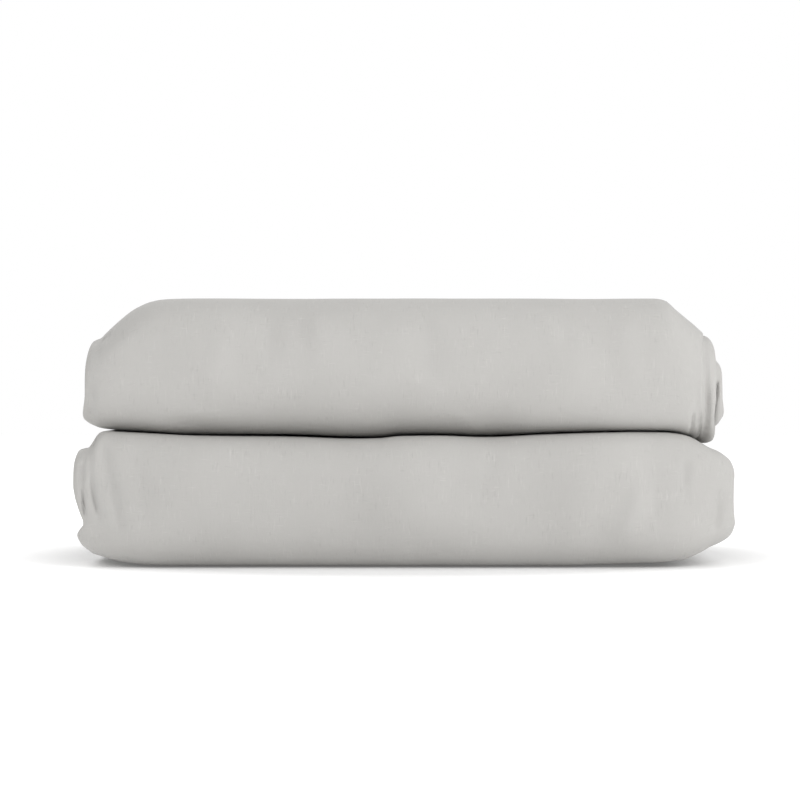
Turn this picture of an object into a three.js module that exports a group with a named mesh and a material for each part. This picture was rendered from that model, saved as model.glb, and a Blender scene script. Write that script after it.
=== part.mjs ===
// A flat bed sheet, folded to a strip and closed like a book
// Both ends of the strip are turned in to its middle, and the strip is then closed on itself. That leaves
// two rounded folds in front, one above the other, and one tall fold, the spine, behind.
// Millimetres, +Z up, the two rounded folds face -Y and +X is to their right
import * as THREE from 'three';

// Overall size
const DEPTH = 230;
const HEIGHT = 134;
const LOWER_HALF_WIDTH = 165;
const UPPER_HALF_WIDTH = 160;

// The cloth and its layers: a pass is one run of the cloth through all four panels and three folds
const CLOTH = 3;
const PASSES = 7;
const TIER_GAP = 2;
const TIER_HEIGHT = (HEIGHT - TIER_GAP) / 2;
const LAYER_PITCH = (TIER_HEIGHT / 2 - CLOTH / 2) / (PASSES - 0.5);
const SHARPEST_BEND = 0.5;

// The rounded folds in front and the spine behind
const FRONT_SHAPE = { depth: 30, squareness: 2.3, steps: 10, fewestSteps: 4 };
const SPINE_SHAPE = { depth: 36, squareness: 2.5, steps: 10, fewestSteps: 6 };
const FRONT_CENTRE = -DEPTH / 2 + FRONT_SHAPE.depth;
const SPINE_CENTRE = DEPTH / 2 - SPINE_SHAPE.depth;

// Where each turn between two passes lies in front of the spine's centre
const TURN_SETBACKS = [5, 7, 4, 9, 3, 8, 4, 6];
const TURN_STEPS = 3;
const OUTER_PANEL_STEPS = 3;
const INNER_PANEL_STEPS = 2;

// The top sags a little between the front folds and the spine
const TOP_SAG = 3;

// Between these heights of the straight section one tier's width and front give way to the other's
const BLEND_FROM = 44;
const BLEND_TO = 90;

// Cross sections from left to right, at a share of the half width. The first four columns are heights:
// the underside, the seam between the tiers from below and above, and the top. The last three say how
// far the two front folds and the spine are drawn in.
const SECTIONS = [
  { along: -1.0, under: 11, seamLow: 57, seamHigh: 73, top: 106, lowerIn: 13, upperIn: 15, spineIn: 14 },
  { along: -0.965, under: 6, seamLow: 62.5, seamHigh: 69.5, top: 113, lowerIn: 7, upperIn: 8, spineIn: 9 },
  { along: -0.9, under: 2, seamLow: 66.6, seamHigh: 68.4, top: 122.5, lowerIn: 3, upperIn: 4, spineIn: 4 },
  { along: -0.82, under: 0, seamLow: 66.6, seamHigh: 68.4, top: 131, lowerIn: 1, upperIn: 2, spineIn: 1 },
  { along: -0.72, under: 0, seamLow: 65.4, seamHigh: 67.2, top: 134, lowerIn: 0, upperIn: 1, spineIn: 0 },
  { along: -0.3, under: 0, seamLow: 63.7, seamHigh: 65.5, top: 134, lowerIn: 1, upperIn: 2, spineIn: 2 },
  { along: 0.3, under: 0, seamLow: 64.3, seamHigh: 66.1, top: 134, lowerIn: 0, upperIn: 3, spineIn: 0 },
  { along: 0.72, under: 0, seamLow: 66.6, seamHigh: 68.4, top: 134, lowerIn: 0, upperIn: 2, spineIn: 1 },
  { along: 0.82, under: 1.5, seamLow: 66.4, seamHigh: 68.2, top: 133.5, lowerIn: 1, upperIn: 3, spineIn: 2 },
  { along: 0.9, under: 6, seamLow: 63.6, seamHigh: 65.4, top: 121.5, lowerIn: 4, upperIn: 5, spineIn: 5 },
  { along: 0.965, under: 12, seamLow: 57.5, seamHigh: 60.5, top: 116, lowerIn: 8, upperIn: 8, spineIn: 10 },
  { along: 1.0, under: 17, seamLow: 51, seamHigh: 64, top: 108, lowerIn: 15, upperIn: 11, spineIn: 14 },
];

// How far each pass, the outermost first, ends short of the full width at either side of either tier
const TRIM_FROM = 0.82;
const PASS_TRIMS = [
  { lowerLeft: 4.5, lowerRight: 0.5, upperLeft: 0.5, upperRight: 11 },
  { lowerLeft: 0, lowerRight: 0, upperLeft: 0, upperRight: 5.5 },
  { lowerLeft: 1, lowerRight: 2, upperLeft: 1.5, upperRight: 0.5 },
  { lowerLeft: 3, lowerRight: 1.5, upperLeft: 2.5, upperRight: 0 },
  { lowerLeft: 2, lowerRight: 3, upperLeft: 1, upperRight: 1 },
  { lowerLeft: 3.5, lowerRight: 2.5, upperLeft: 2, upperRight: 2.5 },
  { lowerLeft: 2.5, lowerRight: 4, upperLeft: 3, upperRight: 3 },
];

function mix(from, to, share) {
  return from + (to - from) * share;
}

function smoothShare(value, from, to) {
  const share = THREE.MathUtils.clamp((value - from) / (to - from), 0, 1);
  return share * share * (3 - 2 * share);
}

// Straight run of points, without the last one, which the next stretch begins with
function run(from, to, steps) {
  const points = [];
  for (let i = 0; i < steps; i += 1) {
    points.push({ y: mix(from.y, to.y, i / steps), z: mix(from.z, to.z, i / steps) });
  }
  return points;
}

// Half a rounded, slightly square fold about centre, from one panel to the other, without its last point
function fold(centre, bulge, halfHeight, squareness, steps, direction) {
  const points = [];
  for (let i = 0; i < steps; i += 1) {
    const angle = direction * (Math.PI / 2 - (Math.PI * i) / steps);
    const outward = Math.abs(Math.cos(angle)) ** (2 / squareness);
    const upward = Math.sign(Math.sin(angle)) * Math.abs(Math.sin(angle)) ** (2 / squareness);
    points.push({ y: centre.y + bulge * outward, z: centre.z + halfHeight * upward });
  }
  return points;
}

// An even number of steps for a fold whose size is this share of the outermost one's
function stepsFor(shape, share) {
  return Math.max(shape.fewestSteps, 2 * Math.round((shape.steps * Math.sqrt(share)) / 2));
}

// The centre line of one pass, from the inner end of the lower tier to that of the upper one
function passLine(pass, lowerEnd, upperEnd) {
  const inset = CLOTH / 2 + pass * LAYER_PITCH;
  const radius = TIER_HEIGHT / 2 - inset;
  const outerRadius = (TIER_HEIGHT - CLOTH) / 2;
  const frontSteps = stepsFor(FRONT_SHAPE, radius / outerRadius);
  const spineSteps = stepsFor(SPINE_SHAPE, radius / outerRadius);
  const bulge = (-(FRONT_SHAPE.depth - CLOTH / 2) * radius) / outerRadius;
  const lowerMiddle = TIER_HEIGHT / 2;
  const upperMiddle = HEIGHT - TIER_HEIGHT / 2;
  const corners = {
    lowerEnd: { y: lowerEnd, z: TIER_HEIGHT - inset },
    lowerFrontIn: { y: FRONT_CENTRE, z: TIER_HEIGHT - inset },
    lowerFrontOut: { y: FRONT_CENTRE, z: inset },
    lowerSpine: { y: SPINE_CENTRE, z: inset },
    upperSpine: { y: SPINE_CENTRE, z: HEIGHT - inset },
    upperFrontOut: { y: FRONT_CENTRE, z: HEIGHT - inset },
    upperFrontIn: { y: FRONT_CENTRE, z: HEIGHT - TIER_HEIGHT + inset },
    upperEnd: { y: upperEnd, z: HEIGHT - TIER_HEIGHT + inset },
  };
  const lowerFront = { y: FRONT_CENTRE, z: lowerMiddle };
  const upperFront = { y: FRONT_CENTRE, z: upperMiddle };
  const spine = { y: SPINE_CENTRE, z: HEIGHT / 2 };
  const spineBulge = SPINE_SHAPE.depth - inset;
  const points = [
    ...run(corners.lowerEnd, corners.lowerFrontIn, INNER_PANEL_STEPS),
    ...fold(lowerFront, bulge, radius, FRONT_SHAPE.squareness, frontSteps, 1),
    ...run(corners.lowerFrontOut, corners.lowerSpine, OUTER_PANEL_STEPS),
    ...fold(spine, spineBulge, HEIGHT / 2 - inset, SPINE_SHAPE.squareness, spineSteps, -1),
    ...run(corners.upperSpine, corners.upperFrontOut, OUTER_PANEL_STEPS),
    ...fold(upperFront, bulge, radius, FRONT_SHAPE.squareness, frontSteps, 1),
    ...run(corners.upperFrontIn, corners.upperEnd, INNER_PANEL_STEPS),
    corners.upperEnd,
  ];
  return points.map((point) => ({ ...point, pass }));
}

// The small turn at an inner end that joins a pass to the next one, without its two end points
function turn(from, to) {
  const points = [];
  const radius = Math.abs(to.z - from.z) / 2;
  for (let i = 1; i < TURN_STEPS; i += 1) {
    const share = i / TURN_STEPS;
    const angle = Math.PI * share;
    points.push({
      y: from.y + radius * Math.sin(angle),
      z: mix(from.z, to.z, (1 - Math.cos(angle)) / 2),
      pass: mix(from.pass, to.pass, share),
    });
  }
  return points;
}

// The whole centre line: every pass, run forwards and backwards in turn
function clothLine() {
  const line = [];
  for (let pass = 0; pass < PASSES; pass += 1) {
    const forwards = pass % 2 === 0;
    const arriving = SPINE_CENTRE - TURN_SETBACKS[pass];
    const leaving = SPINE_CENTRE - TURN_SETBACKS[pass + 1];
    const points = forwards ? passLine(pass, arriving, leaving) : passLine(pass, leaving, arriving);
    if (!forwards) {
      points.reverse();
    }
    if (line.length > 0) {
      line.push(...turn(line[line.length - 1], points[0]));
    }
    line.push(...points);
  }
  return line;
}

// Both faces of the cloth, half its thickness either side of the centre line
function clothFaces(line) {
  const left = [];
  const right = [];
  line.forEach((point, index) => {
    const before = line[Math.max(index - 1, 0)];
    const after = line[Math.min(index + 1, line.length - 1)];
    const first = new THREE.Vector2(point.y - before.y, point.z - before.z);
    const second = new THREE.Vector2(after.y - point.y, after.z - point.z);
    if (index === 0) {
      first.copy(second);
    }
    if (index === line.length - 1) {
      second.copy(first);
    }
    first.normalize();
    second.normalize();
    const along = first.clone().add(second).normalize();
    const reach = CLOTH / 2 / Math.max(along.dot(first), SHARPEST_BEND);
    left.push({ y: point.y - along.y * reach, z: point.z + along.x * reach, pass: point.pass });
    right.push({ y: point.y + along.y * reach, z: point.z - along.x * reach, pass: point.pass });
  });
  return { left, right };
}

// The row of the table of sections at any place along the width
function sectionAt(along) {
  let index = 1;
  while (index < SECTIONS.length - 1 && SECTIONS[index].along < along) {
    index += 1;
  }
  const before = SECTIONS[index - 1];
  const after = SECTIONS[index];
  const share = (along - before.along) / (after.along - before.along);
  const row = {};
  Object.keys(before).forEach((column) => {
    row[column] = mix(before[column], after[column], share);
  });
  return row;
}

// The trim of a pass, or of a turn between two passes
function trimAt(pass, column) {
  const before = PASS_TRIMS[Math.floor(pass)];
  const after = PASS_TRIMS[Math.ceil(pass)];
  return mix(before[column], after[column], pass - Math.floor(pass));
}

// Height of a point of the straight section once the section is fitted between the tabled heights
function fittedHeight(z, row) {
  if (z <= TIER_HEIGHT) {
    return mix(row.under, row.seamLow, z / TIER_HEIGHT);
  }
  if (z <= TIER_HEIGHT + TIER_GAP) {
    return mix(row.seamLow, row.seamHigh, (z - TIER_HEIGHT) / TIER_GAP);
  }
  return mix(row.seamHigh, row.top, (z - TIER_HEIGHT - TIER_GAP) / TIER_HEIGHT);
}

// Place of a point of the straight section at one station along the width
function placed(point, station) {
  const upperShare = smoothShare(point.z, BLEND_FROM, BLEND_TO);
  const halfWidth = mix(LOWER_HALF_WIDTH, UPPER_HALF_WIDTH, upperShare);
  const side = station < 0 ? 'Left' : 'Right';
  const trim = mix(trimAt(point.pass, `lower${side}`), trimAt(point.pass, `upper${side}`), upperShare);
  const trimShare = Math.max(Math.abs(station) - TRIM_FROM, 0) / (1 - TRIM_FROM);
  const along = station * (1 - (trim / halfWidth) * trimShare);
  const row = sectionAt(along);
  const frontIn = mix(row.lowerIn, row.upperIn, upperShare);
  const drawnIn = point.y < 0 ? frontIn : row.spineIn;
  const sagShare = THREE.MathUtils.clamp((point.y - FRONT_CENTRE) / (SPINE_CENTRE - FRONT_CENTRE), 0, 1);
  const sag = TOP_SAG * Math.sin(Math.PI * sagShare) ** 2 * (point.z / HEIGHT) ** 2;
  return new THREE.Vector3(
    along * halfWidth,
    point.y * (1 - drawnIn / (DEPTH / 2)),
    fittedHeight(point.z, row) - sag,
  );
}

// One closed skin: the two faces and the cloth's two edges run along the width, with a cap at each side
function sheetGeometry() {
  const { left, right } = clothFaces(clothLine());
  const outline = [...left, ...right.reverse()];
  const around = outline.length;
  const positions = [];
  SECTIONS.forEach(({ along }) => {
    outline.forEach((point) => positions.push(...placed(point, along).toArray()));
  });
  const triangles = [];
  for (let station = 0; station < SECTIONS.length - 1; station += 1) {
    for (let i = 0; i < around; i += 1) {
      const next = (i + 1) % around;
      const a = station * around + i;
      const b = station * around + next;
      triangles.push(a, a + around, b, b, a + around, b + around);
    }
  }
  const lastStation = (SECTIONS.length - 1) * around;
  for (let i = 0; i < left.length - 1; i += 1) {
    const near = i;
    const nearNext = i + 1;
    const far = around - 1 - i;
    const farNext = far - 1;
    triangles.push(near, nearNext, farNext, near, farNext, far);
    triangles.push(lastStation + near, lastStation + farNext, lastStation + nearNext);
    triangles.push(lastStation + near, lastStation + far, lastStation + farNext);
  }
  const geometry = new THREE.BufferGeometry();
  geometry.setAttribute('position', new THREE.Float32BufferAttribute(positions, 3));
  geometry.setIndex(triangles);
  geometry.computeVertexNormals();
  return geometry;
}

// The sheet, its hems part of its cloth
function makeSheet() {
  const cloth = new THREE.MeshStandardMaterial({ color: 0xc5c5c1, roughness: 0.92, metalness: 0 });
  const mesh = new THREE.Mesh(sheetGeometry(), cloth);
  mesh.name = 'folded_sheet';
  return mesh;
}

const foldedSheet = new THREE.Group();
foldedSheet.add(makeSheet());

export default foldedSheet;
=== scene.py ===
import math
from collections import namedtuple

import bpy
import numpy as np
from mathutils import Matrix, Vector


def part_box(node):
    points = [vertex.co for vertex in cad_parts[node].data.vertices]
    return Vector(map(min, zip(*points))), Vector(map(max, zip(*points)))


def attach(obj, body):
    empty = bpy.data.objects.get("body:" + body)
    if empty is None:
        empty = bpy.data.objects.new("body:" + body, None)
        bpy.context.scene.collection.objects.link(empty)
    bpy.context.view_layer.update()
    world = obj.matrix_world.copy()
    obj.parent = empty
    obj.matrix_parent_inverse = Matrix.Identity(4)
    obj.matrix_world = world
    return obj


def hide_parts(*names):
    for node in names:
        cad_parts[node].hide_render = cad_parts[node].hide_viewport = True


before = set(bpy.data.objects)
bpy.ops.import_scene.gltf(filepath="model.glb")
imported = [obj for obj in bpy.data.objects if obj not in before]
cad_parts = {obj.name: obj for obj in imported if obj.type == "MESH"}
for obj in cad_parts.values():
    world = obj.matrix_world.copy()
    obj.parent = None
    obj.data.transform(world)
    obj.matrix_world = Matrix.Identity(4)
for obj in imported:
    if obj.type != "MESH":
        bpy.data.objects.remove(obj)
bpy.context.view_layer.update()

MM = 0.001
NODE = "folded_sheet"
sheet_low, sheet_high = (np.array(corner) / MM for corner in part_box(NODE))

# The pad's overall size, as the solid has it, and the flat sheet it is folded from
DEPTH = float(sheet_high[1] - sheet_low[1])
HEIGHT = float(sheet_high[2])
LOWER_HALF_WIDTH = float(sheet_high[0])
UPPER_HALF_WIDTH = 160.0

# The cloth runs through all four panels and three folds in every pass
PASSES = 20
CLOTH = 1.15
TIER_GAP = 2.0
TIER_HEIGHT = (HEIGHT - TIER_GAP) / 2
LAYER_PITCH = (TIER_HEIGHT / 2 - CLOTH / 2) / (PASSES - 0.5)

# The rounded folds in front and the spine behind
# The lower and the upper half of a fold each have a squareness and a length from the fold's outermost
# line, and a press of more than 1 flattens a half where the other tier lies against it.
Half = namedtuple("Half", "squareness press length")
PRESS_ROUNDING = 0.08
FRONT_DEPTH = 30.0
LOWER_FRONT = (Half(2.7, 1.0, FRONT_DEPTH), Half(3.3, 1.04, FRONT_DEPTH))
UPPER_FRONT = (Half(1.85, 1.03, FRONT_DEPTH + 8.0), Half(2.5, 1.0, FRONT_DEPTH))
SPINE_DEPTH = 36.0
SPINE = (Half(2.5, 1.0, SPINE_DEPTH), Half(2.5, 1.0, SPINE_DEPTH))
FRONT_CENTRE = -DEPTH / 2 + FRONT_DEPTH
SPINE_CENTRE = DEPTH / 2 - SPINE_DEPTH

# Outlines as the photo shows them: a place along the width, then a height or a distance drawn in
TOP_LINE = (
    (-160.0, 106.0), (-158.0, 110.5), (-155.5, 113.0), (-152.0, 114.4), (-149.5, 117.0), (-143.0, 123.0),
    (-134.5, 129.4), (-127.0, 132.5), (-120.0, 133.7), (-108.0, 134.0), (0.0, 134.0), (124.0, 134.0),
    (130.0, 133.2), (132.5, 131.4), (134.5, 129.4), (140.0, 124.8), (145.0, 120.8), (147.7, 118.4),
    (149.4, 117.2), (150.6, 117.0), (152.0, 116.3), (153.4, 114.9), (156.0, 111.6), (160.0, 107.2),
)
SEAM_HIGH_LINE = (
    (-164.0, 75.5), (-161.5, 72.9), (-159.0, 71.0), (-156.0, 69.6), (-153.5, 68.7), (-151.0, 68.2),
    (-145.0, 67.7), (-129.0, 67.0), (-104.0, 65.8), (-53.0, 64.8), (-30.0, 64.3), (-12.5, 64.7),
    (-2.5, 65.7), (17.5, 65.8), (41.0, 65.0), (68.5, 66.0), (99.0, 67.1), (124.0, 67.6), (130.0, 67.6),
    (136.0, 67.0), (142.0, 65.4), (146.5, 62.9), (149.5, 60.9), (152.5, 59.9), (155.0, 60.6),
    (158.0, 63.5), (160.0, 67.0),
)
SEAM_LOW_LINE = (
    (-165.0, 53.0), (-163.0, 56.8), (-161.4, 58.6), (-158.5, 59.2), (-156.6, 60.0), (-155.0, 62.2),
    (-153.0, 65.4), (-151.2, 67.2), (-149.0, 67.7), (-145.0, 67.4), (-126.0, 66.6), (-101.0, 65.4),
    (-52.0, 64.4), (-30.0, 63.9), (-12.5, 64.3), (-2.5, 65.3), (17.5, 65.4), (40.0, 64.7), (66.5, 65.7),
    (96.5, 66.8), (121.0, 67.3), (128.0, 67.3), (135.0, 66.7), (141.5, 65.1), (147.0, 62.2),
    (152.0, 59.4), (155.4, 58.1), (159.7, 55.3), (162.0, 53.4), (165.0, 50.0),
)
UNDER_LINE = (
    (-165.0, 15.0), (-163.5, 12.5), (-160.5, 9.3), (-157.5, 7.2), (-152.0, 4.8), (-146.0, 3.0),
    (-138.0, 1.4), (-128.0, 0.3), (-118.0, 0.0), (82.0, 0.0), (95.0, 0.5), (112.0, 1.1), (122.0, 1.4),
    (131.0, 2.0), (139.0, 3.1), (144.0, 4.8), (148.5, 6.9), (152.5, 9.2), (157.5, 11.2), (163.0, 15.0),
    (165.0, 20.0),
)
LOWER_IN_LINE = (
    (-165.0, 7.4), (-162.0, 5.4), (-157.0, 4.1), (-150.0, 3.0), (-138.0, 1.3), (-118.0, 0.3),
    (-50.0, 1.0), (50.0, 0.0), (122.0, 0.0), (135.0, 1.0), (148.0, 3.6), (157.0, 6.5), (162.0, 9.5),
    (165.0, 13.5),
)
UPPER_IN_LINE = (
    (-160.0, 12.0), (-157.0, 9.0), (-150.0, 6.5), (-140.0, 4.6), (-120.0, 3.2), (-48.0, 3.4),
    (48.0, 4.2), (115.0, 3.4), (131.0, 4.2), (144.0, 6.0), (152.0, 8.3), (157.0, 11.0), (160.0, 13.3),
)
SPINE_IN_LINE = (
    (-160.0, 17.0), (-154.0, 9.0), (-144.0, 4.0), (-131.0, 1.2), (-115.0, 0.0), (-48.0, 2.0),
    (48.0, 0.0), (115.0, 1.0), (131.0, 2.0), (144.0, 5.0), (154.0, 10.0), (160.0, 17.0),
)

# How full the upper tier's lip is where it meets the lower tier, along the width, and how far it hangs
LIP_FULLNESS = (
    (-160.0, 1.15), (-125.0, 1.15), (-85.0, 1.05), (-50.0, 1.0), (20.0, 1.05), (50.0, 1.2), (72.0, 1.35),
    (92.0, 1.6), (111.0, 1.9), (131.0, 2.1), (139.0, 1.9), (145.0, 1.3), (160.0, 1.1),
)
LIP_DROP_SCALE = 4.0
LIP_DROP = (
    (-160.0, 0.12), (-125.0, 0.2), (-95.0, 0.06), (-60.0, 0.03), (45.0, 0.03), (66.0, 0.17),
    (92.0, 0.19), (111.0, 0.22), (139.0, 0.2), (145.0, 0.08), (160.0, 0.0),
)

# How much fuller the lower tier's shoulder is, along the width, where the upper tier lies on it. It is
# fullest at a share of the way up from the tier's middle.
SHOULDER_RISE = (
    (-165.0, 0.02), (-150.0, 0.055), (-125.0, 0.055), (-95.0, 0.03), (-60.0, 0.0), (40.0, 0.0),
    (66.0, 0.03), (92.0, 0.05), (111.0, 0.065), (139.0, 0.065), (150.0, 0.04), (165.0, 0.0),
)
SHOULDER_AT = 0.8
SHOULDER_POWER = 4

# The pad's lower corners lift off the floor in front, and less so further back, between these depths
LEFT_LIFT_FADE = 0.65
RIGHT_LIFT_FADE = 0.15
LIFT_FROM = -97.0
LIFT_TO = -50.0

# The top sags between the front folds and the spine
TOP_SAG = 3.0

# In front the tiers are apart, and in the spine one tier's width gives way to the other's between these
# heights of the straight section
BLEND_FROM = 50.0
BLEND_TO = 84.0
APART_UP_TO = 45.0

# Where the layers end at the sides. Each group of layers has a line of its own: a share of the tier's
# height, then the place along the width where the layers end there.
EdgeGroup = namedtuple("EdgeGroup", "last_pass line")
EDGES = {
    ("lower", "left"): (
        EdgeGroup(3, (
            (0.0, -160.0), (0.1, -162.0), (0.19, -160.4), (0.29, -157.9), (0.38, -159.8), (0.48, -161.7),
            (0.62, -163.0), (0.85, -163.1), (0.94, -162.4), (1.0, -161.2),
        )),
        EdgeGroup(PASSES, ((0.0, -156.0), (0.4, -157.0), (0.6, -160.5), (0.8, -161.0), (1.0, -153.0))),
    ),
    ("lower", "right"): (
        EdgeGroup(2, (
            (0.0, 162.2), (0.06, 163.4), (0.14, 163.8), (0.25, 163.0), (0.5, 162.2), (0.72, 162.4),
            (0.86, 162.8), (0.95, 161.8), (1.0, 160.4),
        )),
        EdgeGroup(6, ((0.0, 158.0), (0.5, 161.0), (1.0, 159.0))),
        EdgeGroup(PASSES, ((0.0, 157.0), (0.5, 159.5), (1.0, 157.0))),
    ),
    ("upper", "left"): (
        EdgeGroup(1, (
            (0.0, -161.4), (0.03, -160.8), (0.08, -160.4), (0.16, -159.9), (0.4, -157.6), (0.7, -157.4),
            (1.0, -156.0),
        )),
        EdgeGroup(5, ((0.0, -160.0), (0.2, -159.2), (0.5, -157.8), (0.8, -158.2), (1.0, -157.0))),
        EdgeGroup(PASSES, ((0.0, -155.0), (0.5, -156.5), (1.0, -155.0))),
    ),
    ("upper", "right"): (
        EdgeGroup(0, (
            (0.0, 145.6), (0.07, 146.6), (0.2, 146.6), (0.5, 146.4), (0.8, 146.4), (0.9, 147.4),
            (1.0, 149.4),
        )),
        EdgeGroup(5, (
            (0.0, 155.4), (0.03, 155.0), (0.06, 154.8), (0.1, 154.6), (0.2, 154.0), (0.5, 153.4),
            (0.86, 153.7), (0.92, 153.5), (0.96, 152.9), (1.0, 152.0),
        )),
        EdgeGroup(11, (
            (0.0, 158.0), (0.15, 160.4), (0.22, 160.2), (0.36, 158.8), (0.46, 158.0), (0.6, 158.0),
            (0.78, 158.6), (0.82, 157.4), (0.86, 154.5), (1.0, 153.0),
        )),
        EdgeGroup(PASSES, ((0.0, 152.5), (0.5, 155.0), (1.0, 153.0))),
    ),
}

# How far the ends wander from these lines, along the cloth: less in the outermost passes
EDGE_SEED = 7
OUTERMOST_PASSES = 2
OUTER_WANDER = 0.35
INNER_WANDER = 1.1
LONG_WANDER = 41.0
SHORT_WANDER = 17.0
SHORT_STRENGTH = 0.7

# How far a cut edge of the cloth bulges, in shares of its thickness, and where across it
EDGE_BULGE = 0.42
EDGE_SHARES = (0.25, 0.75)

# Creases in the two rounded fronts, between two places given by width and height. Height above the
# cloth is positive for a soft ridge and negative for a trough, and lean makes one side steeper. A crease
# fades with depth under the pad's surface, and is gone at its reach.
Crease = namedtuple("Crease", "x0 z0 x1 z1 width height lean reach")
SKIN = 14.0
THROUGH = 90.0
CREASES = (
    Crease(-53.0, 124.0, -46.0, 106.0, 2.4, -1.3, 0.5, SKIN),
    Crease(-46.0, 126.0, -41.5, 110.0, 2.6, 0.7, 0.0, SKIN),
    Crease(-67.0, 124.0, -65.5, 102.0, 3.0, -1.1, 0.4, SKIN),
    Crease(66.6, 127.0, 73.2, 110.5, 1.0, 0.7, -0.2, SKIN),
    Crease(77.5, 124.0, 79.5, 106.0, 2.0, -0.9, 0.4, SKIN),
    Crease(21.0, 79.5, 39.0, 67.0, 1.5, 1.2, 0.3, SKIN),
    Crease(-118.0, 74.0, -96.0, 69.5, 1.5, -1.3, 0.4, SKIN),
    Crease(-108.0, 78.5, -88.0, 75.0, 2.0, 1.0, 0.3, SKIN),
    Crease(-154.5, 92.0, -154.5, 72.0, 3.0, -1.2, 0.3, SKIN),
    Crease(-156.3, 58.0, -156.6, 24.0, 0.7, 0.8, 0.0, SKIN),
    Crease(-154.6, 60.0, -154.9, 40.0, 0.8, -0.5, 0.0, SKIN),
    Crease(-154.8, 43.0, -150.8, 27.0, 1.0, -2.0, 0.4, SKIN),
    Crease(-158.2, 35.0, -157.4, 26.0, 0.8, -1.9, 0.0, SKIN),
    Crease(-159.2, 51.0, -158.6, 42.0, 1.0, -0.9, 0.0, SKIN),
    Crease(-155.4, 58.0, -152.4, 62.6, 0.6, -2.0, 0.0, SKIN),
    Crease(-153.2, 62.0, -150.6, 66.4, 0.6, -2.0, 0.0, SKIN),
    Crease(-150.6, 112.4, -145.2, 115.8, 0.8, -1.8, 0.0, SKIN),
    Crease(-148.0, 62.0, -144.5, 40.0, 2.6, -1.4, 0.5, SKIN),
    Crease(-144.0, 46.0, -139.0, 18.0, 2.4, -1.5, 0.5, SKIN),
    Crease(-132.0, 58.0, -126.0, 20.0, 4.2, -0.8, 0.2, SKIN),
    Crease(105.0, 12.0, 117.0, 47.0, 3.0, 2.0, 0.5, SKIN),
    Crease(88.0, 14.0, 104.0, 40.0, 6.0, -1.6, 0.3, SKIN),
    Crease(113.0, 54.0, 104.0, 40.0, 1.8, 1.1, 0.3, SKIN),
    Crease(120.0, 50.0, 124.0, 20.0, 4.2, -1.2, 0.2, SKIN),
    Crease(137.5, 54.0, 138.0, 40.0, 1.6, -1.5, 0.3, SKIN),
    Crease(154.5, 36.0, 152.5, 18.0, 3.4, -2.2, 0.4, SKIN),
    Crease(44.0, 58.0, 36.0, 30.0, 4.6, -1.0, 0.3, SKIN),
    Crease(-149.0, 113.0, -128.0, 130.0, 4.5, -1.8, 0.2, SKIN),
    Crease(-88.0, 120.0, -96.0, 84.0, 6.0, 1.2, 0.2, SKIN),
    Crease(8.0, 128.0, 14.0, 92.0, 5.4, -1.1, 0.2, SKIN),
    Crease(106.0, 126.0, 112.0, 88.0, 5.4, 1.1, 0.2, SKIN),
    Crease(141.6, 77.0, 142.4, 62.0, 0.9, -2.4, 0.3, SKIN),
    Crease(145.4, 78.0, 146.6, 60.0, 0.8, -2.2, 0.3, SKIN),
    Crease(155.2, 92.0, 153.4, 71.0, 0.55, -6.5, 0.0, THROUGH),
    Crease(148.6, 91.0, 149.6, 62.0, 1.6, -3.0, 0.0, THROUGH),
    Crease(145.7, 111.0, 145.5, 70.0, 0.6, 0.5, 0.0, SKIN),
    Crease(148.2, 111.0, 148.2, 84.0, 0.9, -1.0, 0.0, SKIN),
)
CREASE_FADE = 0.25

# Creases are at full height from a little in front of a fold's centre, and end a little behind it
CREASES_FULL_BEFORE = 6.0
CREASES_END_BEHIND = 14.0

# Slow, seeded waves over the whole pad. Each turns from the width by an angle and slants with depth, the
# waves grow with height above the floor, and the fronts get less of the ones in height.
WAVE_SEED = 21
WAVE_COUNT = 26
DEPTH_WAVE = 0.95
HEIGHT_WAVE = 0.45
SHORTEST_WAVE = 34.0
LONGEST_WAVE = 130.0
WAVE_TURN = 0.8
WAVE_SLANT = 0.5
WAVES_FROM = 3.0
WAVES_TO = 30.0
FRONT_CALM = 0.7

# How the layers gather into bundles with wider gaps between them
BUNDLE_SIZE = 8.4
BUNDLE_PULL = 0.34
BUNDLE_DRIFT = ((1.1, 1.7, 0.0), (0.8, 2.9, 1.0))
BUNDLES_FADE_OUTSIDE = 3.0
BUNDLES_FADE_INSIDE = 4.0

# Columns of points along half the width, from the middle to the edge, for the outermost pass. The passes
# further in take every second, fourth or eighth of them.
MIDDLE_SHARE = 0.79
SIDE_SHARE = 0.91
MIDDLE_COLUMNS = 32
SIDE_COLUMNS = 8
END_COLUMNS = 12

# Rows of points in each stretch of a pass, for the passes up to the one named
Detail = namedtuple("Detail", "last_pass skip inner front outer spine")
DETAILS = (
    Detail(0, (1, 1, 1), 3, 34, 9, 22),
    Detail(1, (2, 1, 1), 3, 18, 8, 16),
    Detail(8, (4, 2, 1), 2, 12, 4, 12),
    Detail(PASSES, (8, 4, 2), 2, 8, 4, 9),
)
TURN_ROWS = 4
TURN_SETBACKS = (5.0, 7.0, 4.0, 9.0, 3.0, 8.0, 4.0, 6.0)


def mix(start, end, share):
    return start + (end - start) * share


def smooth_share(value, start, end):
    share = np.clip((value - start) / (end - start), 0, 1)
    return share * share * (3 - 2 * share)


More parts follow.
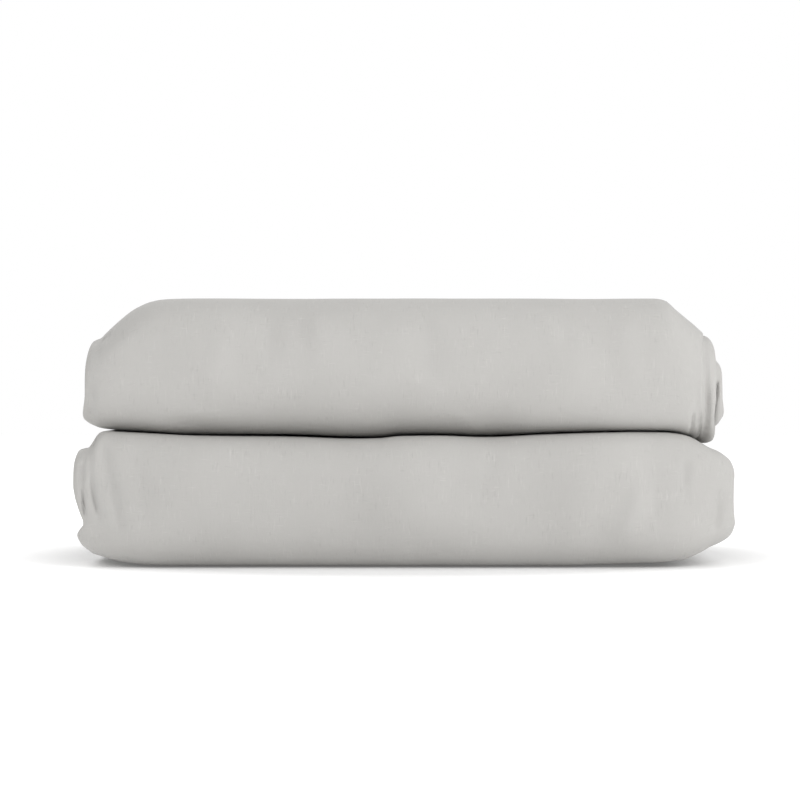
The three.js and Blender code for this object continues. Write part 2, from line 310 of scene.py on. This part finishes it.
def smooth_line(table, places):
    """Value of an outline at many places, on a smooth curve that doesn't overshoot its points."""
    at, value = np.array(table).T
    gap = np.diff(at)
    slope = np.diff(value) / gap
    tangent = np.zeros(len(at))
    tangent[0] = slope[0]
    tangent[-1] = slope[-1]
    same_way = slope[:-1] * slope[1:] > 0
    weight_before = 2 * gap[1:] + gap[:-1]
    weight_after = gap[1:] + 2 * gap[:-1]
    safe = np.where(same_way, slope[:-1] * slope[1:], 1.0)
    weighted = np.where(same_way, weight_before * slope[1:] + weight_after * slope[:-1], 1.0)
    harmonic = (weight_before + weight_after) * safe / weighted
    tangent[1:-1] = np.where(same_way, harmonic, 0.0)
    index = np.clip(np.searchsorted(at, places) - 1, 0, len(gap) - 1)
    t = np.clip((places - at[index]) / gap[index], 0, 1)
    start = value[index] * (1 + 2 * t) * (1 - t) ** 2 + tangent[index] * gap[index] * t * (1 - t) ** 2
    end = value[index + 1] * t**2 * (3 - 2 * t) - tangent[index + 1] * gap[index] * t**2 * (1 - t)
    return start + end


# Paths of the cloth in the straight section


def fold_points(tip, middle, size, half_height, halves, t, direction):
    """Points around a fold from its first end to its second, for a fold that points along -Y or +Y."""
    angle = direction * math.pi * (0.5 - t)
    squareness, press, length = (np.where(angle < 0, below, above) for below, above in zip(*halves))
    inward = 1 - np.abs(np.cos(angle)) ** (2 / squareness)
    upward = press * np.abs(np.sin(angle)) ** (2 / squareness)
    free_share = np.clip(0.5 + (1 - upward) / (2 * PRESS_ROUNDING), 0, 1)
    pressed = mix(1, upward, free_share) - PRESS_ROUNDING * free_share * (1 - free_share)
    upward = np.sign(angle) * np.where(press > 1, pressed, upward)
    return tip + direction * size * length * inward, middle + half_height * upward


def stretch_points(kind, t, inset, end):
    """Points of one stretch of the cloth, at depth inset below the pad's surface."""
    radius = TIER_HEIGHT / 2 - inset
    size = radius / (TIER_HEIGHT / 2)
    front_tip = FRONT_CENTRE - FRONT_DEPTH * size
    spine_size = (SPINE_DEPTH - inset) / SPINE_DEPTH
    seam_low = TIER_HEIGHT - inset
    seam_high = HEIGHT - TIER_HEIGHT + inset
    if kind == "lower_inner":
        return mix(end, front_tip + LOWER_FRONT[1].length * size, t), seam_low + 0 * t
    if kind == "lower_front":
        return fold_points(front_tip, TIER_HEIGHT / 2, size, radius, LOWER_FRONT, t, 1)
    if kind == "lower_outer":
        return mix(FRONT_CENTRE, SPINE_CENTRE, t), inset + 0 * t
    if kind == "spine":
        spine_tip = SPINE_CENTRE + SPINE_DEPTH * spine_size
        return fold_points(spine_tip, HEIGHT / 2, spine_size, HEIGHT / 2 - inset, SPINE, t, -1)
    if kind == "upper_outer":
        return mix(SPINE_CENTRE, FRONT_CENTRE, t), HEIGHT - inset + 0 * t
    if kind == "upper_front":
        return fold_points(front_tip, HEIGHT - TIER_HEIGHT / 2, size, radius, UPPER_FRONT, t, 1)
    return mix(front_tip + UPPER_FRONT[0].length * size, end, t), seam_high + 0 * t


def gathered(depth, place):
    """Depth of a layer once the layers gather into bundles, which drift along the cloth."""
    drift = sum(size * np.sin(rate * place + phase) for size, rate, phase in BUNDLE_DRIFT)
    pull = BUNDLE_PULL * np.sin(2 * math.pi * depth / BUNDLE_SIZE + drift)
    middle = TIER_HEIGHT / 2
    from_outside = smooth_share(depth, 0.0, BUNDLES_FADE_OUTSIDE)
    from_inside = 1 - smooth_share(depth, middle - BUNDLES_FADE_INSIDE, middle)
    return depth + pull * from_outside * from_inside


def detail_of(number):
    return next(detail for detail in DETAILS if number <= detail.last_pass)


def pass_rows(number):
    """Rows of one pass in the order it runs, each with the two faces' places: y, z and depth."""
    detail = detail_of(number)
    counts = {
        "lower_inner": detail.inner,
        "lower_front": detail.front,
        "lower_outer": detail.outer,
        "spine": detail.spine,
        "upper_outer": detail.outer,
        "upper_front": detail.front,
        "upper_inner": detail.inner,
    }
    forwards = number % 2 == 0
    arriving = SPINE_CENTRE - TURN_SETBACKS[number % len(TURN_SETBACKS)]
    leaving = SPINE_CENTRE - TURN_SETBACKS[(number + 1) % len(TURN_SETBACKS)]
    ends = (arriving, leaving) if forwards else (leaving, arriving)
    middle = CLOTH / 2 + number * LAYER_PITCH
    faces = []
    for to_face in (CLOTH / 2, -CLOTH / 2):
        parts = []
        for place, (kind, count) in enumerate(counts.items()):
            last = kind == "upper_inner"
            t = np.arange(count + last) / count
            inset = gathered(middle, place + t) + to_face
            y, z = stretch_points(kind, t, inset, ends[1] if last else ends[0])
            parts.append(np.stack([y, z, inset]))
        faces.append(np.concatenate(parts, axis=1))
    if not forwards:
        faces = [face[:, ::-1] for face in faces[::-1]]
    return np.stack(faces)


def turn_rows(before, after, upper):
    """Rows of the small turn that joins two passes at an inner end, without its two end rows."""
    share = np.arange(1, TURN_ROWS) / TURN_ROWS
    faces = []
    for face in (0, 1):
        y_end = before[face, 0, -1]
        start, end = before[face, 2, -1], after[face, 2, 0]
        inset = mix(start, end, (1 - np.cos(math.pi * share)) / 2)
        y = y_end + abs(end - start) / 2 * np.sin(math.pi * share)
        z = HEIGHT - TIER_HEIGHT + inset if upper else TIER_HEIGHT - inset
        faces.append(np.stack([y, z, inset]))
    return np.stack(faces)


# From the straight section to the pad's own uneven shape


def wave_set(generator):
    """A sum of slow waves over x, y and z, about 1 high, as a function."""
    length = generator.uniform(SHORTEST_WAVE, LONGEST_WAVE, WAVE_COUNT)
    turn = generator.uniform(-WAVE_TURN, WAVE_TURN, WAVE_COUNT)
    slant = generator.uniform(-WAVE_SLANT, WAVE_SLANT, WAVE_COUNT)
    phase = generator.uniform(0, 2 * math.pi, WAVE_COUNT)
    pitch = 2 * math.pi / length
    strength = length / length.mean() / math.sqrt(WAVE_COUNT / 2)

    def waves(x, y, z):
        total = np.zeros(np.broadcast(x, y, z).shape)
        for each in zip(pitch, turn, slant, phase, strength):
            wave_pitch, angle, with_depth, start, height = each
            place = x * math.cos(angle) + z * math.sin(angle) + y * with_depth
            total = total + height * np.sin(wave_pitch * place + start)
        return total

    return waves


wave_generator = np.random.default_rng(WAVE_SEED)
depth_waves = wave_set(wave_generator)
height_waves = wave_set(wave_generator)


def crease_height(x, z, depth):
    """Height of all the creases at places on the fronts, fading with depth."""
    total = np.zeros(x.shape)
    for crease in CREASES:
        run_x, run_z = crease.x1 - crease.x0, crease.z1 - crease.z0
        length = math.hypot(run_x, run_z)
        along = ((x - crease.x0) * run_x + (z - crease.z0) * run_z) / length
        across = ((x - crease.x0) * run_z - (z - crease.z0) * run_x) / length / crease.width
        fade = length * CREASE_FADE
        fade_in = smooth_share(along, -fade / 2, fade)
        fade_out = 1 - smooth_share(along, length - fade, length + fade / 2)
        profile = (1 + crease.lean * across) * np.exp(-across * across)
        under_surface = 1 - smooth_share(depth, 0.0, crease.reach)
        total += crease.height * fade_in * fade_out * profile * under_surface
    return total


def share_of_upper(y, z):
    """How far a place of the straight section belongs to the upper tier, from 0 to 1."""
    apart = np.where(z > HEIGHT / 2, 1.0, 0.0)
    return mix(apart, smooth_share(z, BLEND_FROM, BLEND_TO), smooth_share(y, APART_UP_TO, SPINE_CENTRE))


def lip_shape(x, y, z, depth):
    """How far points of the upper tier's lip move back and down to be as full as it is at x."""
    size = np.maximum(1 - depth / (TIER_HEIGHT / 2), 0)
    reach = np.maximum(UPPER_FRONT[0].length * size, CLOTH)
    inward = np.clip((y - FRONT_CENTRE + FRONT_DEPTH * size) / reach, 0, 1)
    back = reach * (inward ** smooth_line(LIP_FULLNESS, x) - inward)
    radius = np.maximum(TIER_HEIGHT / 2 * size, CLOTH)
    below = np.clip((HEIGHT - TIER_HEIGHT / 2 - z) / radius, 0, 1)
    down = radius * smooth_line(LIP_DROP, x) * LIP_DROP_SCALE * below**2 * (1 - below)
    in_lip = (z > HEIGHT / 2) & (z < HEIGHT - TIER_HEIGHT / 2) & (y < 0)
    return np.where(in_lip, back, 0.0), np.where(in_lip, down, 0.0)


def shoulder_rise(x, y, z, depth):
    """How far points of the lower tier's shoulder move up to be as full as it is at x."""
    radius = np.maximum(TIER_HEIGHT / 2 - depth, CLOTH)
    above = np.clip((z - TIER_HEIGHT / 2) / radius, 0, 1)
    most = SHOULDER_AT**SHOULDER_POWER * (1 - SHOULDER_AT)
    rise = radius * smooth_line(SHOULDER_RISE, x) * above**SHOULDER_POWER * (1 - above) / most
    in_shoulder = (z > TIER_HEIGHT / 2) & (z < TIER_HEIGHT) & (y < 0)
    return np.where(in_shoulder, rise, 0.0)


def placed(x, y, z, depth):
    """Place in the pad of points of the straight section, given across the width at x."""
    upper_share = share_of_upper(y, z)
    along = x / mix(LOWER_HALF_WIDTH, UPPER_HALF_WIDTH, upper_share)
    lower_x, upper_x = along * LOWER_HALF_WIDTH, along * UPPER_HALF_WIDTH
    lip_back, lip_down = lip_shape(upper_x, y, z, depth)
    z = z - lip_down + shoulder_rise(lower_x, y, z, depth)
    fade = np.where(lower_x < 0, LEFT_LIFT_FADE, RIGHT_LIFT_FADE)
    lift_share = 1 - fade * smooth_share(y, LIFT_FROM, LIFT_TO)
    under = smooth_line(UNDER_LINE, lower_x) * lift_share
    seam_low = smooth_line(SEAM_LOW_LINE, lower_x)
    seam_high = smooth_line(SEAM_HIGH_LINE, upper_x)
    top = smooth_line(TOP_LINE, upper_x)
    in_lower = mix(under, seam_low, z / TIER_HEIGHT)
    in_gap = mix(seam_low, seam_high, (z - TIER_HEIGHT) / TIER_GAP)
    in_upper = mix(seam_high, top, (z - TIER_HEIGHT - TIER_GAP) / TIER_HEIGHT)
    height = np.where(z <= TIER_HEIGHT, in_lower, np.where(z <= TIER_HEIGHT + TIER_GAP, in_gap, in_upper))
    front_in = mix(smooth_line(LOWER_IN_LINE, lower_x), smooth_line(UPPER_IN_LINE, upper_x), upper_share)
    drawn_in = np.where(y < 0, front_in, smooth_line(SPINE_IN_LINE, upper_x))
    sag_share = np.clip((y - FRONT_CENTRE) / (SPINE_CENTRE - FRONT_CENTRE), 0, 1)
    sag = TOP_SAG * np.sin(math.pi * sag_share) ** 2 * (z / HEIGHT) ** 2
    off_floor = smooth_share(z, WAVES_FROM, WAVES_TO)
    creases_end = FRONT_CENTRE + CREASES_END_BEHIND
    front_share = smooth_share(-y, -creases_end, CREASES_FULL_BEFORE - FRONT_CENTRE)
    crease = crease_height(x, height, depth) * front_share
    new_y = (y + lip_back) * (1 - drawn_in / (DEPTH / 2)) - crease
    new_y = new_y + DEPTH_WAVE * depth_waves(x, y, z) * off_floor
    calm = 1 - front_share * FRONT_CALM
    new_z = height - sag + HEIGHT_WAVE * height_waves(x, y, z) * off_floor * calm
    return x, new_y, new_z


# The columns and the ends of the layers


def half_columns():
    middle = np.arange(MIDDLE_COLUMNS) / MIDDLE_COLUMNS * MIDDLE_SHARE
    side = mix(MIDDLE_SHARE, SIDE_SHARE, np.arange(SIDE_COLUMNS) / SIDE_COLUMNS)
    end = mix(SIDE_SHARE, 1.0, np.arange(END_COLUMNS + 1) / END_COLUMNS)
    return middle, side, end


def column_picks(skip):
    """Which of the finest columns a pass has, as places in the whole row of them."""
    right = []
    first = 0
    for step, count in zip(skip, (MIDDLE_COLUMNS, SIDE_COLUMNS, END_COLUMNS)):
        right += list(range(first, first + count, step))
        first += count
    right.append(first)
    left = [-pick for pick in right[:0:-1]]
    return np.array(left + right) + first


def all_columns():
    right = np.concatenate(half_columns())
    return np.concatenate([-right[:0:-1], right])


def edge_line(tier, side, number, share):
    group = next(g for g in EDGES[tier, side] if number <= g.last_pass)
    return smooth_line(group.line, share)


def row_ends(number, y, z, length_at, generator):
    """Where the cloth ends at the left and the right in each row of a pass."""
    upper_share = share_of_upper(y, z)
    lower_height = np.clip(z / TIER_HEIGHT, 0, 1)
    upper_height = np.clip((z - TIER_HEIGHT - TIER_GAP) / TIER_HEIGHT, 0, 1)
    ends = []
    for side, outward in (("left", -1), ("right", 1)):
        lower = edge_line("lower", side, number, lower_height)
        upper = edge_line("upper", side, number, upper_height)
        phase = generator.uniform(0, 2 * math.pi, 3)
        long_wander = np.sin(length_at / LONG_WANDER + phase[0])
        short_wander = SHORT_STRENGTH * np.sin(length_at / SHORT_WANDER + phase[1])
        wander = (long_wander + short_wander + np.sin(phase[2])) / (2 + SHORT_STRENGTH)
        strength = OUTER_WANDER if number < OUTERMOST_PASSES else INNER_WANDER
        ends.append(mix(lower, upper, upper_share) - outward * strength * (1 + wander))
    return ends


# The mesh


def cloth_rows():
    """Every pass and turn in order: a list of (pass number, rows) with the rows of both faces."""
    passes = [pass_rows(number) for number in range(PASSES)]
    stretches = []
    for number, rows in enumerate(passes):
        stretches.append((number, rows))
        if number + 1 < PASSES:
            stretches.append((number, turn_rows(rows, passes[number + 1], upper=number % 2 == 0)))
    return stretches


def ring_points(rows, number, length_at, columns, generator):
    """Closed rings of points around the cloth, one in each row, and each point's place across it."""
    middle = rows.mean(0)
    left, right = row_ends(number, middle[0], middle[1], length_at, generator)
    to_left = -columns[None, :] * left[:, None]
    to_right = columns[None, :] * right[:, None]
    spread = np.where(columns[None, :] < 0, to_left, to_right)

    def face_points(face_mix, x):
        y, z, depth = (mix(rows[0, i], rows[1, i], face_mix)[:, None] for i in range(3))
        return np.stack(placed(x, y, z, depth), axis=-1)

    left_x = (left - EDGE_BULGE * CLOTH)[:, None]
    right_x = (right + EDGE_BULGE * CLOTH)[:, None]
    near, far = EDGE_SHARES
    around = (
        (0.0, spread),
        (near, right_x),
        (far, right_x),
        (1.0, spread[:, ::-1]),
        (far, left_x),
        (near, left_x),
    )
    points = np.concatenate([face_points(share, x) for share, x in around], axis=1)
    return points, np.concatenate([x for share, x in around], axis=1)


def ring_faces(first, rows, around):
    """Faces between rings that follow each other and have the same number of points."""
    ring_first = first + np.arange(rows - 1)[:, None] * around
    start = ring_first + np.arange(around)[None, :]
    beside = ring_first + (np.arange(around) + 1)[None, :] % around
    return np.stack([start, start + around, beside + around, beside], axis=-1).reshape(-1, 4).tolist()


def joining_faces(fine_first, fine_picks, rough_first, rough_picks):
    """Faces, some many-sided, from a ring of fine columns to the ring of rough columns after it."""
    places = {pick: i for i, pick in enumerate(fine_picks)}
    fine_count, rough_count = len(fine_picks), len(rough_picks)
    faces = []

    def add(fine_run, rough_run):
        faces.append(rough_run + fine_run[::-1])

    for i in range(rough_count - 1):
        a, b = places[rough_picks[i]], places[rough_picks[i + 1]]
        add([fine_first + j for j in range(a, b + 1)], [rough_first + i, rough_first + i + 1])
    for step in range(len(EDGE_SHARES) + 1):
        a = fine_first + fine_count - 1 + step
        b = rough_first + rough_count - 1 + step
        add([a, a + 1], [b, b + 1])
    fine_back, rough_back = fine_first + fine_count + 2, rough_first + rough_count + 2
    for i in range(rough_count - 1):
        a = fine_count - 1 - places[rough_picks[rough_count - 1 - i]]
        b = fine_count - 1 - places[rough_picks[rough_count - 2 - i]]
        add([fine_back + j for j in range(a, b + 1)], [rough_back + i, rough_back + i + 1])
    fine_last, rough_last = fine_first + 2 * fine_count + 1, rough_first + 2 * rough_count + 1
    add([fine_last, fine_last + 1], [rough_last, rough_last + 1])
    add([fine_last + 1, fine_last + 2], [rough_last + 1, rough_last + 2])
    add([fine_last + 2, fine_first], [rough_last + 2, rough_first])
    return faces


def cap_face(first, columns):
    """The face that closes the cloth at one of its two ends."""
    return [first + i for i in range(2 * (columns + len(EDGE_SHARES)))]


def build_sheet():
    """The whole sheet as one closed mesh, with its place along and across the cloth kept as a UV map."""
    generator = np.random.default_rng(EDGE_SEED)
    finest = all_columns()
    points, widths, lengths, faces = [], [], [], []
    first = 0
    travelled = 0.0
    last_point = None
    previous = None
    for number, rows in cloth_rows():
        picks = column_picks(detail_of(number).skip)
        columns = finest[picks]
        middle = rows.mean(0)[:2]
        start = middle[:, :1] if last_point is None else last_point
        steps = np.hypot(*np.diff(np.concatenate([start, middle], axis=1), axis=1))
        length_at = travelled + np.cumsum(steps)
        travelled = length_at[-1]
        last_point = middle[:, -1:]
        ring, width = ring_points(rows, number, length_at, columns, generator)
        count, around = ring.shape[:2]
        points.append(ring.reshape(-1, 3))
        widths.append(width.reshape(-1))
        lengths.append(np.repeat(length_at, around))
        if previous is None:
            faces.append(cap_face(first, len(columns))[::-1])
        elif len(previous[1]) == len(picks):
            faces += ring_faces(previous[0], 2, around)
        else:
            faces += joining_faces(previous[0], list(previous[1]), first, list(picks))
        faces += ring_faces(first, count, around)
        previous = (first + (count - 1) * around, picks)
        first += count * around
    faces.append(cap_face(previous[0], len(previous[1])))
    points = np.concatenate(points) * MM
    mesh = bpy.data.meshes.new("sheet_cloth")
    mesh.from_pydata(points.tolist(), [], faces)
    mesh.validate()
    weave = mesh.uv_layers.new(name="Weave")
    corners = np.empty(len(mesh.loops), dtype=np.int64)
    mesh.loops.foreach_get("vertex_index", corners)
    flat = np.stack([np.concatenate(widths), np.concatenate(lengths)], axis=-1) * MM
    weave.uv.foreach_set("vector", flat[corners].astype(np.float32).ravel())
    mesh.polygons.foreach_set("use_smooth", np.ones(len(mesh.polygons), dtype=bool))
    mesh.update()
    sheet = bpy.data.objects.new("sheet", mesh)
    bpy.context.scene.collection.objects.link(sheet)
    return sheet


# Materials


def make_material(name):
    material = bpy.data.materials.new(name)
    material.use_nodes = True
    nodes = material.node_tree.nodes
    return material, nodes, material.node_tree.links, nodes["Principled BSDF"]


# The cloth's colour, and how much the slubs, the grain and slow patches change it
CLOTH_COLOUR = (0.495, 0.486, 0.469)
SLUB_TONE = 0.095
SLUB_PATCH_LOW = 0.3
SLUB_PATCH_SPAN = 0.9
GRAIN_TONE = 0.03
PATCH_TONE = 0.12

# Noise over the cloth: cells for each metre across and along it, then its detail and its shift
Noise = namedtuple("Noise", "across along detail shift")
SLUB_PATCHES = Noise(75.0, 60.0, 1.0, 9.1)
PATCHES = Noise(30.0, 24.0, 3.0, 2.2)
GRAIN = Noise(1500.0, 700.0, 2.0, 5.7)

# Slubs show where their noise is above the low value, and in full at the high one
Slub = namedtuple("Slub", "noise low high")
LIGHT_SLUBS = (
    Slub(Noise(1150.0, 140.0, 1.0, 0.0), 0.6, 0.82),
    Slub(Noise(190.0, 1150.0, 1.0, 3.1), 0.62, 0.86),
)
DARK_SLUBS = (
    Slub(Noise(1100.0, 160.0, 1.0, 7.3), 0.6, 0.82),
    Slub(Noise(190.0, 1150.0, 1.0, 11.9), 0.63, 0.88),
)
SLUB_PATCHES_FROM = 0.4
SLUB_PATCHES_TO = 0.62

# Threads for each metre, and the relief of threads and slubs beside the grain's. A wave texture has one
# wave in each 2 pi / 20 at a scale of 1.
THREADS_ACROSS = 3000.0
THREADS_ALONG = 2700.0
WAVE_PERIOD = 2 * math.pi / 20
THREAD_RELIEF = 0.15
SLUB_RELIEF = 0.5
RELIEF_STRENGTH = 0.4
RELIEF_DEPTH = 0.0002


def cloth_material():
    """Plain-woven cotton: threads and slubs both ways, and slow patches of tone."""
    material, nodes, links, shader = make_material("plain_woven_cotton")
    shader.inputs["Roughness"].default_value = 0.92
    shader.inputs["Specular IOR Level"].default_value = 0.18
    shader.inputs["Sheen Weight"].default_value = 0.12
    shader.inputs["Sheen Roughness"].default_value = 0.45
    place = nodes.new("ShaderNodeUVMap")
    place.uv_map = "Weave"

    def noise_over_cloth(kind):
        mapping = nodes.new("ShaderNodeMapping")
        mapping.inputs["Location"].default_value = (kind.shift, kind.shift, 0.0)
        mapping.inputs["Scale"].default_value = (kind.across, kind.along, 1.0)
        links.new(place.outputs["UV"], mapping.inputs["Vector"])
        noise = nodes.new("ShaderNodeTexNoise")
        noise.inputs["Scale"].default_value = 1.0
        noise.inputs["Detail"].default_value = kind.detail
        links.new(mapping.outputs["Vector"], noise.inputs["Vector"])
        return noise.outputs["Fac"]

    def math_node(operation, *values):
        node = nodes.new("ShaderNodeMath")
        node.operation = operation
        for socket, value in zip(node.inputs, values):
            if isinstance(value, (int, float)):
                socket.default_value = value
            else:
                links.new(value, socket)
        return node.outputs[0]

    def above(value, low, high):
        ramp = nodes.new("ShaderNodeMapRange")
        ramp.inputs["From Min"].default_value = low
        ramp.inputs["From Max"].default_value = high
        links.new(value, ramp.inputs["Value"])
        return ramp.outputs["Result"]

    def thread_wave(direction, threads_per_metre):
        wave = nodes.new("ShaderNodeTexWave")
        wave.wave_type = "BANDS"
        wave.bands_direction = direction
        wave.inputs["Scale"].default_value = threads_per_metre * WAVE_PERIOD
        wave.inputs["Distortion"].default_value = 0.0
        links.new(place.outputs["UV"], wave.inputs["Vector"])
        return wave.outputs["Fac"]

    def slub_sum(kinds):
        warp, weft = (above(noise_over_cloth(kind.noise), kind.low, kind.high) for kind in kinds)
        return math_node("ADD", warp, weft)

    slub_patches = above(noise_over_cloth(SLUB_PATCHES), SLUB_PATCHES_FROM, SLUB_PATCHES_TO)
    grain = noise_over_cloth(GRAIN)
    patches = noise_over_cloth(PATCHES)
    slubs = math_node("SUBTRACT", slub_sum(LIGHT_SLUBS), slub_sum(DARK_SLUBS))
    slub_strength = math_node("MULTIPLY_ADD", slub_patches, SLUB_PATCH_SPAN, SLUB_PATCH_LOW)
    slubs = math_node("MULTIPLY", slubs, slub_strength)
    tone = math_node("MULTIPLY_ADD", slubs, SLUB_TONE, 1.0)
    tone = math_node("MULTIPLY_ADD", math_node("SUBTRACT", grain, 0.5), GRAIN_TONE, tone)
    tone = math_node("MULTIPLY_ADD", math_node("SUBTRACT", patches, 0.5), PATCH_TONE, tone)
    colour = nodes.new("ShaderNodeVectorMath")
    colour.operation = "SCALE"
    colour.inputs[0].default_value = CLOTH_COLOUR
    links.new(tone, colour.inputs["Scale"])
    links.new(colour.outputs[0], shader.inputs["Base Color"])

    weave = math_node("ADD", thread_wave("X", THREADS_ACROSS), thread_wave("Y", THREADS_ALONG))
    slub_relief = math_node("MULTIPLY_ADD", slubs, SLUB_RELIEF, grain)
    relief = math_node("MULTIPLY_ADD", weave, THREAD_RELIEF, slub_relief)
    bump = nodes.new("ShaderNodeBump")
    bump.inputs["Strength"].default_value = RELIEF_STRENGTH
    bump.inputs["Distance"].default_value = RELIEF_DEPTH
    links.new(relief, bump.inputs["Height"])
    links.new(bump.outputs["Normal"], shader.inputs["Normal"])
    return material


# The glow is painted light on the floor. It is weak close round the pad, which leaves the floor's shadow
# darker there, and strong further out, which washes any shadow away.
# The floor glows a little, and more away from the pad, so that it is white as in the photo's background.
# The glow grows between two distances from the middle, in shares of a length in metres for x and y.
FLOOR_GLOW = 0.09
FAR_GLOW = 0.32
GLOW_LENGTHS = (0.178, 0.15)
GLOW_FROM = 0.96
GLOW_TO = 1.16


def floor_material():
    material, nodes, links, shader = make_material("pale_floor")
    shader.inputs["Base Color"].default_value = (0.88, 0.88, 0.88, 1.0)
    shader.inputs["Roughness"].default_value = 0.95
    shader.inputs["Specular IOR Level"].default_value = 0.0
    shader.inputs["Emission Color"].default_value = (1.0, 1.0, 1.0, 1.0)
    place = nodes.new("ShaderNodeTexCoord")
    mapping = nodes.new("ShaderNodeMapping")
    mapping.inputs["Scale"].default_value = (1 / GLOW_LENGTHS[0], 1 / GLOW_LENGTHS[1], 1.0)
    distance = nodes.new("ShaderNodeVectorMath")
    distance.operation = "LENGTH"
    glow = nodes.new("ShaderNodeMapRange")
    glow.inputs["From Min"].default_value = GLOW_FROM
    glow.inputs["From Max"].default_value = GLOW_TO
    glow.inputs["To Min"].default_value = FLOOR_GLOW
    glow.inputs["To Max"].default_value = FAR_GLOW
    links.new(place.outputs["Object"], mapping.inputs["Vector"])
    links.new(mapping.outputs["Vector"], distance.inputs[0])
    links.new(distance.outputs["Value"], glow.inputs["Value"])
    links.new(glow.outputs["Result"], shader.inputs["Emission Strength"])
    return material


# The folded sheet takes the place of its solid
sheet = build_sheet()
sheet.data.materials.append(cloth_material())
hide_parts(NODE)
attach(sheet, "root")

# The floor
FLOOR_SIZE = 8.0
FLOOR_DROP = 0.0002
bpy.ops.mesh.primitive_plane_add(size=FLOOR_SIZE, location=(0, 0, -FLOOR_DROP))
floor = bpy.context.object
floor.name = "floor"
floor.data.materials.append(floor_material())

# The camera looks straight at the fronts, from a little over half the pad's height
SENSOR = 36.0
PHOTO_MM = 400.0
SCALE_PLANE = -90.0
EYE_X = -2.5
EYE_HEIGHT = 83.0
EYE_DISTANCE = 1135.0
camera_data = bpy.data.cameras.new("camera")
camera_data.sensor_width = SENSOR
camera_data.lens = SENSOR * EYE_DISTANCE / PHOTO_MM
camera = bpy.data.objects.new("camera", camera_data)
camera.location = (EYE_X * MM, (SCALE_PLANE - EYE_DISTANCE) * MM, EYE_HEIGHT * MM)
camera.rotation_euler = (math.radians(90), 0, 0)
bpy.context.scene.collection.objects.link(camera)
bpy.context.scene.camera = camera


# A place and a size are in metres, and every light points at the same place in the pad
LIGHT_TARGET = (0, 0, 0.06)


def add_area_light(name, place, size, power):
    data = bpy.data.lights.new(name, "AREA")
    data.shape = "RECTANGLE"
    data.size, data.size_y = size
    data.energy = power
    light = bpy.data.objects.new(name, data)
    light.location = place
    reach = np.array(LIGHT_TARGET) - np.array(place)
    flat = math.hypot(reach[0], reach[1])
    tilt = math.atan2(flat, -reach[2])
    turn = math.atan2(reach[1], reach[0]) - math.pi / 2
    light.rotation_euler = (tilt, 0, turn)
    bpy.context.scene.collection.objects.link(light)


add_area_light("key", place=(0.85, -1.05, 0.7), size=(0.9, 0.7), power=8.0)
add_area_light("back", place=(-1.1, 1.5, 1.1), size=(1.2, 0.9), power=10.0)

# White all round as the camera sees it, and a softer light on the sheet that is brighter above
SIDE_LIGHT = 0.42
TOP_LIGHT = 1.0
world = bpy.data.worlds.new("studio")
world.use_nodes = True
world_nodes = world.node_tree.nodes
world_links = world.node_tree.links
background = world_nodes["Background"]
background.inputs["Color"].default_value = (1, 1, 1, 1)
seen = world_nodes.new("ShaderNodeLightPath")
direction = world_nodes.new("ShaderNodeTexCoord")
parts = world_nodes.new("ShaderNodeSeparateXYZ")
lighting = world_nodes.new("ShaderNodeMapRange")
lighting.inputs["To Min"].default_value = SIDE_LIGHT
lighting.inputs["To Max"].default_value = TOP_LIGHT
strength = world_nodes.new("ShaderNodeMix")
strength.inputs["B"].default_value = 1.0
world_links.new(direction.outputs["Generated"], parts.inputs["Vector"])
world_links.new(parts.outputs["Z"], lighting.inputs["Value"])
world_links.new(seen.outputs["Is Camera Ray"], strength.inputs["Factor"])
world_links.new(lighting.outputs["Result"], strength.inputs["A"])
world_links.new(strength.outputs["Result"], background.inputs["Strength"])
bpy.context.scene.world = world
bpy.context.scene.view_settings.view_transform = "Standard"
